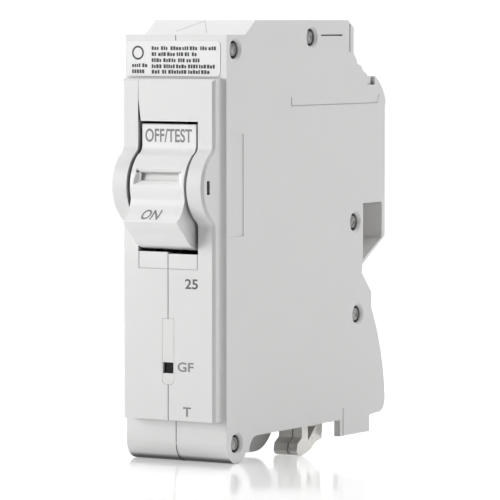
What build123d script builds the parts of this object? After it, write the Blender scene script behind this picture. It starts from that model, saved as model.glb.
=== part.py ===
from build123d import *
from math import cos, radians, sin, tan
import os

# One-pole plug-on breaker with ground-fault protection. Millimetres, +Z up, the handle faces -Y.
# The origin is under the middle of the case, on the level of the load clip's lowest point.
# Profiles are drawn as (depth behind the case's front plane, height above the front foot roll).

# ---------------------------------------------------------------- driving dimensions
CASE_WIDTH = 25.4
HALF = CASE_WIDTH / 2
WALL = 1.6
INSIDE = HALF - WALL
REAR = 69.8
TOP = 95.0
BOTTOM = 5.4
FOOT_ROLL = 4.3
CLIP_DROP = 1.85

NOSE = 3.2
NOSE_HALF = 11.6
NOSE_LOW, NOSE_HIGH = 9.4, 82.5
NOSE_EDGE = 0.55
NOSE_SKIN = 1.5
OPENING_HALF = 7.55
OPENING_LOW, OPENING_HIGH = 45.5, 73.45
TONGUE_REACH = 7.47
SEAM_WIDTH, SEAM_DEPTH = 0.18, 0.25

PIVOT = (0.85, 59.55)
RAIL_RADIUS = 8.75
ROCKER_RADIUS = 8.55
ROCKER_HALF = 6.76
ROCKER_SKIN = 1.3
ROCKER_SWEEP = 13.75
PANEL_DEPTH = -2.7
ROCKER_TOP = 72.85
LIP = (-10.45, 52.3)
PIN_RADIUS = 1.0
LATCH_PIN_RADIUS = 0.8
RUNNING_FIT = 0.05

ARM_PIVOT = (20.0, 72.0)
ARM_SWING = 15.0
CRANK_ANGLE = 20.75
DRIVE_PIN = (-12.88, -6.14)
CRADLE_PIVOT = (14.5, 80.5)
LATCH_PIVOT = (27.0, 53.0)

STRIP_HALF, STRIP_LOW, STRIP_HIGH = 1.45, 17.1, 31.2
LENS_HALF, LENS_LOW, LENS_HIGH = 1.32, 19.5, 21.85
STRIP_CORNER = 0.6

RIVETS = [(3.7, 88.7), (36.3, 91.2), (55.8, 49.6), (57.0, 28.7), (4.3, 4.3)]
RIVET_RADIUS, RIVET_HEAD = 1.25, 1.5
WELL_RADIUS, WELL_DEPTH, WELL_RIM = 1.95, 2.4, 0.55
RIVET_RECESS = 0.75
BOSS_RADIUS = 3.0

STRAP_X = (2.4, 7.2)
STRAP_THICK = 1.2
CONTACT_RADIUS, CONTACT_HEIGHT = 2.1, 1.6
CONTACT_PLACE = (4.8, 42.3)
STRAP_TOP = 58.6
BIMETAL_X = (3.6, 7.4)
CLIP_X, CLIP_SPLIT = (3.0, 9.0), 6.6

DIVIDER = 0.8
BOARD_FACE = -9.4
BOARD_THICK = 1.2
COIL_X, COIL_HEIGHT = -6.2, 56.5
RING_CENTRE, RING_LOW, RING_HIGH = (0, 21.5), 11.5, 17.5

FRONT_Y = -(REAR + LIP[0]) / 2


# ---------------------------------------------------------------- planes and small helpers
def side(x):
    """Plane across the case at x: local axes are depth and height, extruding towards +X."""
    return Plane(origin=(x, FRONT_Y, CLIP_DROP), x_dir=(0, 1, 0), z_dir=(1, 0, 0))


def about(x, pivot, turn=0.0):
    """Side plane whose origin is a pivot, turned about +X by an angle."""
    direction = (0, cos(radians(turn)), sin(radians(turn)))
    return Plane(origin=place(x, *pivot), x_dir=direction, z_dir=(1, 0, 0))


def front(depth):
    """Plane facing the user at a depth: local axes are X and height, extruding towards -Y."""
    return Plane(origin=(0, FRONT_Y + depth, CLIP_DROP), x_dir=(1, 0, 0), z_dir=(0, -1, 0))


def level(height):
    """Horizontal plane at a height: local axes are X and depth, extruding upwards."""
    return Plane(origin=(0, FRONT_Y, CLIP_DROP + height), x_dir=(1, 0, 0), z_dir=(0, 0, 1))


def place(x, depth, height):
    """A place in the case, as a point of the model's own frame."""
    return (x, FRONT_Y + depth, CLIP_DROP + height)


def save(builder, name):
    """Labels a finished piece and writes its STEP file."""
    builder.part.label = name
    export_step(builder.part, f"parts/{name}.step")


def slab(across, upward, mode=Mode.ADD):
    """Rectangle between two pairs of limits, for the sketch that is open."""
    with Locations(((across[0] + across[1]) / 2, (upward[0] + upward[1]) / 2)):
        Rectangle(across[1] - across[0], upward[1] - upward[0], mode=mode)


def bar(x_range, depths, heights, mode=Mode.ADD):
    """Square block between two X values, two depths and two heights, for the part that is open."""
    with BuildSketch(side(x_range[0])) as section:
        slab(depths, heights)
    extrude(section.sketch, amount=x_range[1] - x_range[0], mode=mode)


def roller(x_range, centre, radius, mode=Mode.ADD):
    """Cylinder along X about a place in the side view, for the part that is open."""
    with BuildSketch(side(x_range[0])) as section:
        with Locations(centre):
            Circle(radius)
    extrude(section.sketch, amount=x_range[1] - x_range[0], mode=mode)


def plate(x_range, outline, pivot=(0, 0), turn=0.0, mode=Mode.ADD):
    """Flat plate across X from a closed outline drawn about a pivot, for the part that is open."""
    with BuildSketch(about(x_range[0], pivot, turn)) as section:
        with BuildLine():
            Polyline(*outline, close=True)
        make_face()
    extrude(section.sketch, amount=x_range[1] - x_range[0], mode=mode)


def barrel(x, height, depths, radius, mode=Mode.ADD):
    """Cylinder along the depth at one X and one height, for the part that is open."""
    with BuildSketch(front(depths[1])) as section:
        with Locations((x, height)):
            Circle(radius)
    extrude(section.sketch, amount=depths[1] - depths[0], mode=mode)


def lead(route, diameter):
    """Flexible lead: straight runs joined by the largest arcs that the shorter run at each corner allows."""
    corners = [Vector(*place(*stop)) for stop in route]
    radii = []
    for before, here, after in zip(corners, corners[1:], corners[2:]):
        run = min((here - before).length, (after - here).length)
        turn = (here - before).get_angle(after - here)
        radii.append(0.45 * run / tan(radians(turn / 2)))
    with BuildPart() as wire:
        with BuildLine() as path:
            FilletPolyline(*corners, radius=radii)
        with BuildSketch(Plane(origin=corners[0], z_dir=corners[1] - corners[0])):
            Circle(diameter / 2)
        sweep(path=path.line)
    print("lead radii", [round(radius, 1) for radius in radii])
    return wire


os.makedirs("parts", exist_ok=True)


# ---------------------------------------------------------------- outlines shared by the two case halves
def case_profile(keel):
    """Outline of a case half in the side view. The half with the keel reaches down behind the foot roll."""
    edge = FOOT_ROLL * (1 - 0.5**0.5)
    heel = (66.0, BOTTOM + 0.3)
    with BuildSketch(side(0)) as profile:
        with BuildLine():
            Polyline((0, FOOT_ROLL), (0, 91.9), (7.7, 91.9), (12.0, TOP), (52.3, TOP), (54.9, 93.3),
                     (54.9, 87.5))
            Polyline((54.9, 87.5), (56.5, 85.8), (56.5, 85.2), (58.4, 84.7), (59.2, 83.6), (62.0, 82.4),
                     (64.7, 82.3))
            ThreePointArc((64.7, 82.3), (68.2, 79.5), (REAR, 76.4))
            Polyline((REAR, 76.4), (69.4, 75.4), (69.4, 45.9), (59.0, 39.9), (58.8, 37.9), (63.2, 33.3),
                     (63.1, 29.9))
            ThreePointArc((63.1, 29.9), (67.7, 19.5), (69.6, 9.0))
            ThreePointArc((69.6, 9.0), (68.5, 6.4), heel)
            if keel:
                Polyline(heel, (62.4, BOTTOM), (41.5, BOTTOM))
                ThreePointArc((41.5, BOTTOM), (38.6, 1.2), (33.0, -0.85))
                Line((33.0, -0.85), (FOOT_ROLL, 0))
            else:
                Polyline(heel, (62.4, BOTTOM), (12.7, BOTTOM))
                ThreePointArc((12.7, BOTTOM), (10.37, 4.43), (9.4, 2.1))
                Line((9.4, 2.1), (8.0, 2.1))
                ThreePointArc((8.0, 2.1), (6.3, 0.49), (FOOT_ROLL, 0))
            ThreePointArc((FOOT_ROLL, 0), (edge, edge), (0, FOOT_ROLL))
        make_face()
    return profile.sketch


def case_cavity():
    """Space inside a case half: the outline one wall in, less the block that holds the stab pocket."""
    with BuildSketch(side(0)) as cavity:
        with BuildLine():
            Polyline((9.5, 9.5), (WALL, 9.5), (WALL, 90.3), (8.2, 90.3), (12.4, 93.4), (51.9, 93.4),
                     (53.3, 92.4))
            Polyline((53.3, 92.4), (53.3, 86.8), (54.9, 84.2), (57.6, 83.0), (61.6, 80.8), (64.2, 80.7),
                     (68.0, 76.0))
            Polyline((68.0, 76.0), (67.8, 55.3), (57.7, 55.3), (57.2, 37.3), (61.6, 32.7), (61.5, 29.6))
            ThreePointArc((61.5, 29.6), (66.0, 19.0), (68.0, 9.0))
            Polyline((68.0, 9.0), (66.0, 7.0), (14.5, 7.0), (9.5, 9.5))
        make_face()
    return cavity.sketch


def keel_hollow():
    """Space inside the keel, which stays walled off from the parting plane."""
    with BuildSketch(side(WALL)) as hollow:
        with BuildLine():
            Line((13.0, 8.0), (42.4, 8.0))
            ThreePointArc((42.4, 8.0), (37.4, 2.6), (32.5, 0.8))
            Polyline((32.5, 0.8), (13.0, 1.4), (13.0, 8.0))
        make_face()
    return hollow.sketch


def rail_profile():
    """Guard rail beside the rocker: a round bulge out of the nose, blended into it at both ends."""
    with BuildSketch(side(OPENING_HALF)) as rail:
        with Locations(PIVOT):
            Circle(RAIL_RADIUS)
        slab((-12, 0.5), (46, 73), mode=Mode.INTERSECT)
        slab((-NOSE, 0.5), (48, 71.5))
        corners = rail.vertices().filter_by(lambda v: abs(v.X + NOSE) < 0.01 and 50 < v.Y < 69)
        fillet(corners, radius=1.7)
    return rail.sketch


with BuildPart() as nose:
    with BuildSketch(level(NOSE_LOW)) as nose_section:
        with BuildLine():
            Polyline((0, WALL), (0, -NOSE), (NOSE_HALF - NOSE_EDGE, -NOSE), (NOSE_HALF, NOSE_EDGE - NOSE))
            Line((NOSE_HALF, NOSE_EDGE - NOSE), (NOSE_HALF, -1.5))
            ThreePointArc((NOSE_HALF, -1.5), (11.93, -0.42), (HALF, 0))
            Polyline((HALF, 0), (HALF, WALL), (0, WALL))
        make_face()
    extrude(amount=NOSE_HIGH - NOSE_LOW)
    top_front = nose.edges().group_by(Axis.Z)[-1].filter_by(Axis.X).sort_by(Axis.Y)[0]
    chamfer(top_front, length=NOSE_EDGE)

with BuildPart() as rail:
    extrude(rail_profile(), amount=NOSE_HALF - OPENING_HALF)
    outer_edges = rail.edges().filter_by(
        lambda e: abs(e.center().X - NOSE_HALF) < 0.01 and e.center().Y < FRONT_Y - NOSE + 0.05
    )
    chamfer(outer_edges, length=NOSE_EDGE)


def stab_pocket(depth_in):
    """Pocket at the rear for the panel's line stab, with a sloped floor."""
    plate((0, depth_in), [(59.3, 53.7), (68.0, 53.7), (68.0, 45.6), (59.3, 40.9)], mode=Mode.SUBTRACT)


def add_rivet_seats():
    """Bosses for the rivets, each bored through and with a bevelled well for its head."""
    for centre in RIVETS:
        roller((0, INSIDE), centre, BOSS_RADIUS)
    for centre in RIVETS:
        roller((0, HALF), centre, RIVET_RADIUS + RUNNING_FIT, mode=Mode.SUBTRACT)
        roller((HALF - WELL_DEPTH, HALF), centre, WELL_RADIUS, mode=Mode.SUBTRACT)
        with BuildSketch(side(HALF - WELL_RIM)) as rim:
            with Locations(centre):
                Circle(WELL_RADIUS)
        extrude(rim.sketch, amount=WELL_RIM, taper=-45, mode=Mode.SUBTRACT)


def strip_outline(spare):
    """Outline of the indicator strip in the front view, with its two lower corners cut off."""
    half, low, high = STRIP_HALF + spare, STRIP_LOW - spare, STRIP_HIGH + spare
    with BuildSketch(front(0)) as outline:
        slab((-half, half), (low, high))
        chamfer(outline.vertices().group_by(Axis.Y)[0], length=STRIP_CORNER)
    return outline.sketch


def seam_grooves():
    """Fine relief along the parting line, on the nose, the foot and the brow."""
    for low, high in ((NOSE_LOW, STRIP_LOW), (STRIP_HIGH, OPENING_LOW)):
        bar((0, SEAM_WIDTH / 2), (-NOSE, SEAM_DEPTH - NOSE), (low, high), mode=Mode.SUBTRACT)
    for low, high in ((FOOT_ROLL, NOSE_LOW), (90.7, 92)):
        bar((0, SEAM_WIDTH / 2), (0, SEAM_DEPTH), (low, high), mode=Mode.SUBTRACT)


def case_half(keel):
    """One half of the case on the +X side, hollow, with the nose, a guard rail and every opening."""
    with BuildPart() as half:
        extrude(case_profile(keel), amount=HALF)
        add(nose.part)
        extrude(case_cavity(), amount=INSIDE, mode=Mode.SUBTRACT)
        if keel:
            extrude(keel_hollow(), amount=INSIDE - WALL, mode=Mode.SUBTRACT)
        bar((0, 10.0), (NOSE_SKIN - NOSE, WALL), (11.0, 81.0), mode=Mode.SUBTRACT)
        add(rail.part)
        roller((OPENING_HALF, INSIDE), PIVOT, BOSS_RADIUS)
        bar((0, OPENING_HALF), (-12, 3), (OPENING_LOW, OPENING_HIGH), mode=Mode.SUBTRACT)
        roller((0, 10.05), PIVOT, PIN_RADIUS + RUNNING_FIT, mode=Mode.SUBTRACT)
        bar((7.5, INSIDE), (17.5, 25.5), (10.0, RING_LOW))
        add_rivet_seats()
        extrude(strip_outline(RUNNING_FIT), amount=NOSE, mode=Mode.SUBTRACT)
        bar((10.6, HALF), (-6.15, -4.95), (58.1, 61.0), mode=Mode.SUBTRACT)
        bar((HALF - WALL + 0.1, HALF), (48.9, 62.35), (1.7, BOTTOM + 0.2))
        bar((0, 4.2), (50.4, 60.6), (BOTTOM - 0.2, 7.2), mode=Mode.SUBTRACT)
        seam_grooves()
    return half


# ---------------------------------------------------------------- right case half
right_half = case_half(keel=False)
with BuildPart() as right_shell:
    add(right_half.part)
    stab_pocket(HALF)
    bar((1.6, 6.0), (67.5, 70), (43.5, 52.6), mode=Mode.SUBTRACT)
    bar((STRAP_X[0] - 0.1, STRAP_X[1] + 0.1), (57.0, 59.5), (43.9, 45.3), mode=Mode.SUBTRACT)
    bar((CLIP_X[0] - 0.3, CLIP_X[1] + 0.3), (37.8, 47.8), (BOTTOM - 0.2, 7.2), mode=Mode.SUBTRACT)
    bar((STRAP_X[1], INSIDE), (48.8, 50.0), (45.8, 52.0))
    # tongue of the upper nose plate, which crosses the parting line to the left
    with BuildSketch(front(-NOSE)) as tongue:
        with BuildLine():
            Polyline((0, NOSE_HIGH), (0, OPENING_HIGH), (-6.85, OPENING_HIGH))
            Polyline((-6.85, OPENING_HIGH), (-7.42, 78.0), (-TONGUE_REACH, NOSE_HIGH), (0, NOSE_HIGH))
        make_face()
    extrude(tongue.sketch, amount=-NOSE_SKIN + 0.05)
    corner = (-NOSE, NOSE_HIGH)
    bevel = [(corner[0] - 1, corner[1] - NOSE_EDGE - 1), (corner[0] + NOSE_EDGE + 1, corner[1] + 1),
    (-5, 84)]
    plate((-8, 0), bevel, mode=Mode.SUBTRACT)
    # shallow marks of the mould on the flank: panel line, rail patch, slot, groove and notch
    for depths, heights in (((27.2, 27.45), (76.2, 78.2)), ((27.2, 65.9), (76.2, 76.4))):
        bar((HALF - 0.15, HALF), depths, heights, mode=Mode.SUBTRACT)
    plate((HALF - 0.15, HALF), [(65.7, 76.2), (65.7, 76.4), (66.6, 78.2),
          (66.85, 78.2)], mode=Mode.SUBTRACT)
    bar((HALF - 0.15, HALF), (1.0, 7.0), (48.8, 70.6), mode=Mode.SUBTRACT)
    bar((HALF - 0.9, HALF), (40.2, 49.8), (91.5, 91.8), mode=Mode.SUBTRACT)
    bar((HALF - 0.8, HALF), (53.0, 53.35), (87.9, 94.1), mode=Mode.SUBTRACT)
    bar((HALF - 0.8, HALF), (61.1, 64.6), (80.4, 83.0), mode=Mode.SUBTRACT)
    bar((HALF - 0.15, HALF), (50.2, 50.45), (1.7, 8.0), mode=Mode.SUBTRACT)
    # the opening reaches lower on this side, and the plate under it is outlined
    bar((0, OPENING_HALF), (-12, 0), (OPENING_LOW - 0.35, OPENING_LOW + 1), mode=Mode.SUBTRACT)
    bar((7.3, 7.45), (-NOSE, 0.12 - NOSE), (42.0, OPENING_LOW), mode=Mode.SUBTRACT)
    bar((0, 7.45), (-NOSE, 0.12 - NOSE), (41.85, 42.0), mode=Mode.SUBTRACT)
save(right_shell, "right_shell")

# ---------------------------------------------------------------- left case half
left_half = case_half(keel=True)
with BuildPart() as left_shell:
    add(mirror(left_half.part, about=Plane.YZ))
    with BuildSketch(side(0)) as pocket_floor:
        slab((59.3, 68.0), (46.0, 53.7))
    extrude(pocket_floor.sketch, amount=-INSIDE, mode=Mode.SUBTRACT)
    with BuildSketch(front(-NOSE)) as tongue_seat:
        slab((-OPENING_HALF, 0), (OPENING_HIGH, NOSE_HIGH))
    extrude(tongue_seat.sketch, amount=-NOSE_SKIN, mode=Mode.SUBTRACT)
    for standoff in ((10, 40), (48, 40), (46, 15)):
        roller((-INSIDE - 0.2, BOARD_FACE - BOARD_THICK), standoff, 1.2)
    bar((-7.45, -7.3), (-NOSE, 0.12 - NOSE), (42.0, OPENING_LOW), mode=Mode.SUBTRACT)
    bar((-7.45, 0), (-NOSE, 0.12 - NOSE), (41.85, 42.0), mode=Mode.SUBTRACT)
save(left_shell, "left_shell")

# ---------------------------------------------------------------- rivets through both halves
with BuildPart() as rivets:
    well_floor, head_top = HALF - WELL_DEPTH, HALF - RIVET_RECESS
    for centre in RIVETS:
        roller((-well_floor, well_floor), centre, RIVET_RADIUS)
        roller((well_floor, head_top), centre, RIVET_HEAD)
        roller((-head_top, -well_floor), centre, RIVET_HEAD)
save(rivets, "rivets")

# ---------------------------------------------------------------- label on the brow above the nose
with BuildPart() as label:
    with BuildSketch(front(0)) as sticker:
        slab((-12.3, 11.2), (83.0, 90.6))
        fillet(sticker.vertices().group_by(Axis.X)[-1], radius=1.0)
    extrude(amount=0.12)
save(label, "label")

# ---------------------------------------------------------------- rocker handle, hollow and open at the back
with BuildPart() as rocker_handle:
    with BuildSketch(side(-ROCKER_HALF)) as rocker_outline:
        with BuildLine():
            Polyline((2.8, ROCKER_TOP), (PANEL_DEPTH + 0.2, ROCKER_TOP), (PANEL_DEPTH, ROCKER_TOP - 0.2))
            Line((PANEL_DEPTH, ROCKER_TOP - 0.2), (PANEL_DEPTH, 68.3))
            ThreePointArc((PANEL_DEPTH, 68.3), (-3.15, 67.1), (-4.27, 66.4))
            ThreePointArc((-4.27, 66.4), (PIVOT[0] - ROCKER_RADIUS, PIVOT[1]), (-7.31, 57.0))
            ThreePointArc((-7.31, 57.0), (-8.3, 54.4), (-10.25, 52.6))
            ThreePointArc((-10.25, 52.6), LIP, (-10.3, 52.0))
            Polyline((-10.3, 52.0), (-9.1, 50.7), (-7.5, 49.4), (-5.9, 47.8), (-4.7, 46.9))
            ThreePointArc((-4.7, 46.9), (-2.0, 46.1), (PIVOT[0], PIVOT[1] - ROCKER_SWEEP))
            Polyline((PIVOT[0], PIVOT[1] - ROCKER_SWEEP), (2.8, 45.94), (2.8, ROCKER_TOP))
        make_face()
    extrude(amount=2 * ROCKER_HALF)
    with BuildSketch(side(ROCKER_SKIN - ROCKER_HALF)) as rocker_hollow:
        with BuildLine():
            Polyline((2.9, 71.6), (PANEL_DEPTH + ROCKER_SKIN, 71.6), (PANEL_DEPTH + ROCKER_SKIN, 68.0),
                     (-3.70, 65.2))
            ThreePointArc((-3.70, 65.2), (PIVOT[0] - ROCKER_RADIUS + ROCKER_SKIN, PIVOT[1]), (-5.94, 57.0))
            Polyline((-5.94, 57.0), (-6.9, 54.0), (-6.9, 51.3), (-4.2, 48.6), (-2.0, 47.4), (2.9, 47.2),
                     (2.9, 71.6))
        make_face()
    extrude(amount=2 * (ROCKER_HALF - ROCKER_SKIN), mode=Mode.SUBTRACT)
    for inner, outer in ((1.8, ROCKER_HALF), (-ROCKER_HALF, -1.8)):
        roller((inner, outer), PIVOT, 2.1)
    # fork that drives the contact arm's pin
    plate((4.4, 6.2), [(0, -2.1), (10.8, -2.3), (10.8, 2.3), (0, 2.1)], PIVOT, CRANK_ANGLE)
    plate((4.4, 6.2), [(7.2, -1.1), (11, -1.1), (11, 1.1),
          (7.2, 1.1)], PIVOT, CRANK_ANGLE, mode=Mode.SUBTRACT)
    roller((-ROCKER_HALF, ROCKER_HALF), PIVOT, PIN_RADIUS + RUNNING_FIT, mode=Mode.SUBTRACT)
    # window over the trip flag: a bevelled recess and a slot through the skin
    with BuildSketch(front(-6.6)) as window_rim:
        slab((-5.0, 5.1), (60.8, 62.8))
    extrude(window_rim.sketch, amount=1.5, taper=-40, mode=Mode.SUBTRACT)
    plate((-5.6, 5.7), [(-6.4, 62.6), (-7.0, 63.85), (-8.6, 63.85), (-8.6, 62.6)], mode=Mode.SUBTRACT)
    with BuildSketch(front(-5.0)) as window_slot:
        slab((-4.7, 4.85), (60.85, 62.55))
    extrude(window_slot.sketch, amount=4, mode=Mode.SUBTRACT)
save(rocker_handle, "rocker_handle")

with BuildPart() as rocker_pin:
    roller((-10, 10), PIVOT, PIN_RADIUS)
save(rocker_pin, "rocker_pin")

with BuildPart() as rocker_spring:
    roller((-5.2, -2.2), PIVOT, 3.2)
    roller((-5.2, -2.2), PIVOT, 2.45, mode=Mode.SUBTRACT)
save(rocker_spring, "rocker_spring")

with BuildPart() as trip_flag:
    with BuildSketch(side(-4.9)) as flag_arc:
        with Locations(PIVOT):
            Circle(6.9)
            Circle(6.2, mode=Mode.SUBTRACT)
        slab((-12, PIVOT[0] - 5.8), (PIVOT[1] - 2.3, PIVOT[1] + 3.4), mode=Mode.INTERSECT)
    extrude(amount=9.8)
    plate((-1.5, 1.5), [(-6.6, -0.9), (0, -0.9), (0, 0.9), (-6.6, 0.9)], PIVOT)
    roller((-1.6, 1.6), PIVOT, 2.3)
    roller((-1.6, 1.6), PIVOT, PIN_RADIUS + RUNNING_FIT, mode=Mode.SUBTRACT)
save(trip_flag, "trip_flag")

# ---------------------------------------------------------------- indicator in the lower nose
with BuildPart() as indicator_strip:
    with BuildSketch(front(-0.9)) as strip_flange:
        slab((-2.4, 2.4), (STRIP_LOW - 0.9, STRIP_HIGH + 0.9))
    extrude(strip_flange.sketch, amount=0.8)
    extrude(strip_outline(0), amount=NOSE)
    bar((-5, 5), (-0.9, 0.5), (STRIP_LOW - 2, STRIP_HIGH + 2), mode=Mode.SUBTRACT)
    with BuildSketch(front(-0.9)) as strip_window:
        slab((-LENS_HALF, LENS_HALF), (LENS_LOW, LENS_HIGH))
    extrude(strip_window.sketch, amount=NOSE, mode=Mode.SUBTRACT)
save(indicator_strip, "indicator_strip")

with BuildPart() as indicator_lens:
    with BuildSketch(front(-0.9)):
        slab((-LENS_HALF, LENS_HALF), (LENS_LOW, LENS_HIGH))
    extrude(amount=1.7)
save(indicator_lens, "indicator_lens")

with BuildPart() as indicator_lamp:
    barrel(0, (LENS_LOW + LENS_HIGH) / 2, (-0.6, 4.4), 1.2)
    for low in (20.0, 21.0):
        bar((BOARD_FACE, -0.6), (4.4, 5.4), (low, low + 0.4))
        bar((-0.6, 0.6), (4.4, 5.4), (low, low + 0.4))
save(indicator_lamp, "indicator_lamp")

# ---------------------------------------------------------------- clips and jaws that meet the panel
with BuildPart() as load_clip:
    with BuildSketch(side(CLIP_X[0])) as clip_loop:
        with BuildLine():
            Polyline((38.3, 7.1), (38.3, 2.2), (36.4, 1.0), (36.0, -0.6), (36.7, -1.5), (38.3, -CLIP_DROP))
            Polyline((38.3, -CLIP_DROP), (42.0, -0.75), (44.5, 0.8), (47.1, 1.25), (47.4, 4.7),
                     (47.4, 7.1), (38.3, 7.1))
        make_face()
        with BuildLine():
            Polyline((40.8, 4.5), (44.5, 4.4), (41.1, 1.3), close=True)
        make_face(mode=Mode.SUBTRACT)
    extrude(clip_loop.sketch, amount=CLIP_X[1] - CLIP_X[0])
    bar((CLIP_SPLIT - 0.2, CLIP_SPLIT + 0.2), (35, 48), (-3, 5.0), mode=Mode.SUBTRACT)
    bar((1.6, INSIDE), (36.6, 48.6), (7.05, 8.3))
save(load_clip, "load_clip")

with BuildPart() as neutral_clip:
    bar((-3, 3), (51, 59), (11.3, 12.5))
    plate((-3, 3), [(51, 11.3), (51, 6.2), (52.6, 7.6), (51.9, 9.0), (51.9, 11.3)])
    plate((-3, 3), [(59, 11.3), (59, 6.2), (57.4, 7.6), (58.1, 9.0), (58.1, 11.3)])
    bar((-INSIDE, INSIDE), (53, 57), (11.6, 12.4))
save(neutral_clip, "neutral_clip")

with BuildPart() as line_jaw:
    with BuildSketch(level(45.4)) as jaw_trace:
        with BuildLine() as jaw_path:
            Polyline((2.6, 67.0), (3.3, 65.2), (2.0, 62.0), (2.0, 60.4), (5.6, 60.4),
                     (5.6, 62.0), (4.3, 65.2), (5.0, 67.0))
        trace(jaw_path.line, line_width=0.7)
    extrude(jaw_trace.sketch, amount=6.6)
    bar((STRAP_X[0], 5.95), (60.05, 60.75), (43.4, 45.5))
save(line_jaw, "line_jaw")

with BuildPart() as line_strap:
    bar(STRAP_X, (49.0, 60.05), (44.0, 45.2))
    bar(STRAP_X, (48.8, 50.0), (44.0, STRAP_TOP))
    bar(STRAP_X, (39.9, 50.0), (STRAP_TOP - STRAP_THICK, STRAP_TOP))
save(line_strap, "line_strap")

with BuildPart() as fixed_contact:
    with BuildSketch(level(STRAP_TOP)):
        with Locations(CONTACT_PLACE):
            Circle(CONTACT_RADIUS)
    extrude(amount=CONTACT_HEIGHT)
save(fixed_contact, "fixed_contact")

# ---------------------------------------------------------------- arc chute behind the contacts
with BuildPart() as arc_chute_frame:
    for inner, outer in ((1.6, 2.4), (9.2, 10.0)):
        bar((inner, outer), (47.6, 57.8), (60.0, 78.0))
    bar((2.4, 9.2), (57.0, 57.8), (60.0, 78.0))
    for low in (63.0, 73.0):
        bar((10.0, INSIDE), (51.0, 54.0), (low, low + 2.0))
save(arc_chute_frame, "arc_chute_frame")

with BuildPart() as arc_plates:
    for step in range(7):
        with BuildSketch(level(61.2 + 2.4 * step)) as splitter:
            slab((2.4, 9.2), (48.0, 57.0))
            with BuildLine():
                Polyline((3.6, 47.9), (5.8, 52.0), (8.0, 47.9), close=True)
            make_face(mode=Mode.SUBTRACT)
        extrude(splitter.sketch, amount=0.9)
save(arc_plates, "arc_plates")

# ---------------------------------------------------------------- mechanism frame and its pins
MECHANISM_PINS = (ARM_PIVOT, CRADLE_PIVOT, LATCH_PIVOT)
with BuildPart() as mechanism_frame:
    outline = [(12, 66), (12, 84), (27, 84), (27, 87), (32, 87), (32, 50), (23, 50), (18, 60)]
    for inner, outer in ((1.4, 2.2), (9.4, 10.2)):
        plate((inner, outer), outline)
    bar((2.2, 9.4), (28.5, 31.5), (86.0, 87.0))
    bar((2.2, 9.4), (23.0, 24.2), (50.0, 51.0))
    bar((10.2, INSIDE), (13.0, 17.0), (75.0, 78.0))
    bar((10.2, INSIDE), (29.0, 31.5), (66.0, 70.0))
    # the near plate is cut away where the plunger's finger passes
    bar((1.0, 3.0), (26.8, 33.0), (54.9, 58.1), mode=Mode.SUBTRACT)
    for centre in MECHANISM_PINS:
        roller((1, 11), centre, LATCH_PIN_RADIUS + RUNNING_FIT, mode=Mode.SUBTRACT)
save(mechanism_frame, "mechanism_frame")

with BuildPart() as mechanism_pins:
    for centre in MECHANISM_PINS:
        roller((1.1, 10.5), centre, LATCH_PIN_RADIUS)
save(mechanism_pins, "mechanism_pins")

# ---------------------------------------------------------------- contact arm, drawn closed and turned open
with BuildPart() as contact_arm:
    body = [(0, 3.0), (18, -5.5), (25, -8.3), (25, -9.9), (19, -9.9), (16, -8.5), (0, -3.2)]
    tail = [(0, 3.0), (0, -3.2), (-11.6, -7.6), (-13.9, -7.2), (-13.5, -4.6)]
    plate((2.6, 4.2), body, ARM_PIVOT, ARM_SWING)
    plate((2.6, 4.2), tail, ARM_PIVOT, ARM_SWING)
    roller((2.6, 4.2), ARM_PIVOT, 3.1)
    plate((2.6, 7.0), [(19.8, -9.9), (25, -9.9), (25, -8.6), (19.8, -8.6)], ARM_PIVOT, ARM_SWING)
    with BuildSketch(about(4.2, ARM_PIVOT, ARM_SWING)) as drive_pin:
        with Locations(DRIVE_PIN):
            Circle(LATCH_PIN_RADIUS)
    extrude(drive_pin.sketch, amount=2.2)
    with BuildSketch(about(4.2, ARM_PIVOT, ARM_SWING)) as spring_post:
        with Locations((9.8, -2.6)):
            Circle(0.8)
    extrude(spring_post.sketch, amount=2.4)
    roller((2.5, 4.3), ARM_PIVOT, LATCH_PIN_RADIUS + RUNNING_FIT, mode=Mode.SUBTRACT)
save(contact_arm, "contact_arm")

with BuildPart() as moving_contact:
    underside = about(0, ARM_PIVOT, ARM_SWING)
    with BuildSketch(Plane(origin=underside.from_local_coords(Vector(22.3, -9.9, CONTACT_PLACE[0])),
                           x_dir=(1, 0, 0), z_dir=-underside.y_dir)):
        Circle(CONTACT_RADIUS)
    extrude(amount=CONTACT_HEIGHT)
save(moving_contact, "moving_contact")

with BuildPart() as arm_spring:
    with BuildSketch(level(73.4)):
        with Locations((5.3, 30.0)):
            Circle(1.9)
            Circle(1.3, mode=Mode.SUBTRACT)
    extrude(amount=12.6)
save(arm_spring, "arm_spring")

# ---------------------------------------------------------------- latch: cradle, armature and magnet
with BuildPart() as cradle:
    cradle_outline = [(0, 2.4), (12, -2.5), (19.5, -17), (17.0, -20.6), (14.2, -20.6), (14.0, -17.5),
                      (9.5, -6.6), (-1, -2.4)]
    plate((7.8, 9.2), cradle_outline, CRADLE_PIVOT)
    roller((7.8, 9.2), CRADLE_PIVOT, 2.5)
    roller((7.7, 9.3), CRADLE_PIVOT, LATCH_PIN_RADIUS + RUNNING_FIT, mode=Mode.SUBTRACT)
save(cradle, "cradle")

with BuildPart() as armature:
    bar((2.8, 9.2), (25.8, 27.0), (31.0, 51.2))
    bar((2.8, 9.2), (25.2, 28.8), (51.2, 54.8))
    bar((2.8, 9.2), (25.8, 27.0), (54.8, 59.4))
    bar((7.5, 9.2), (27.0, 30.4), (58.4, 59.4))
    roller((2.7, 9.3), LATCH_PIVOT, LATCH_PIN_RADIUS + RUNNING_FIT, mode=Mode.SUBTRACT)
save(armature, "armature")

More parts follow.
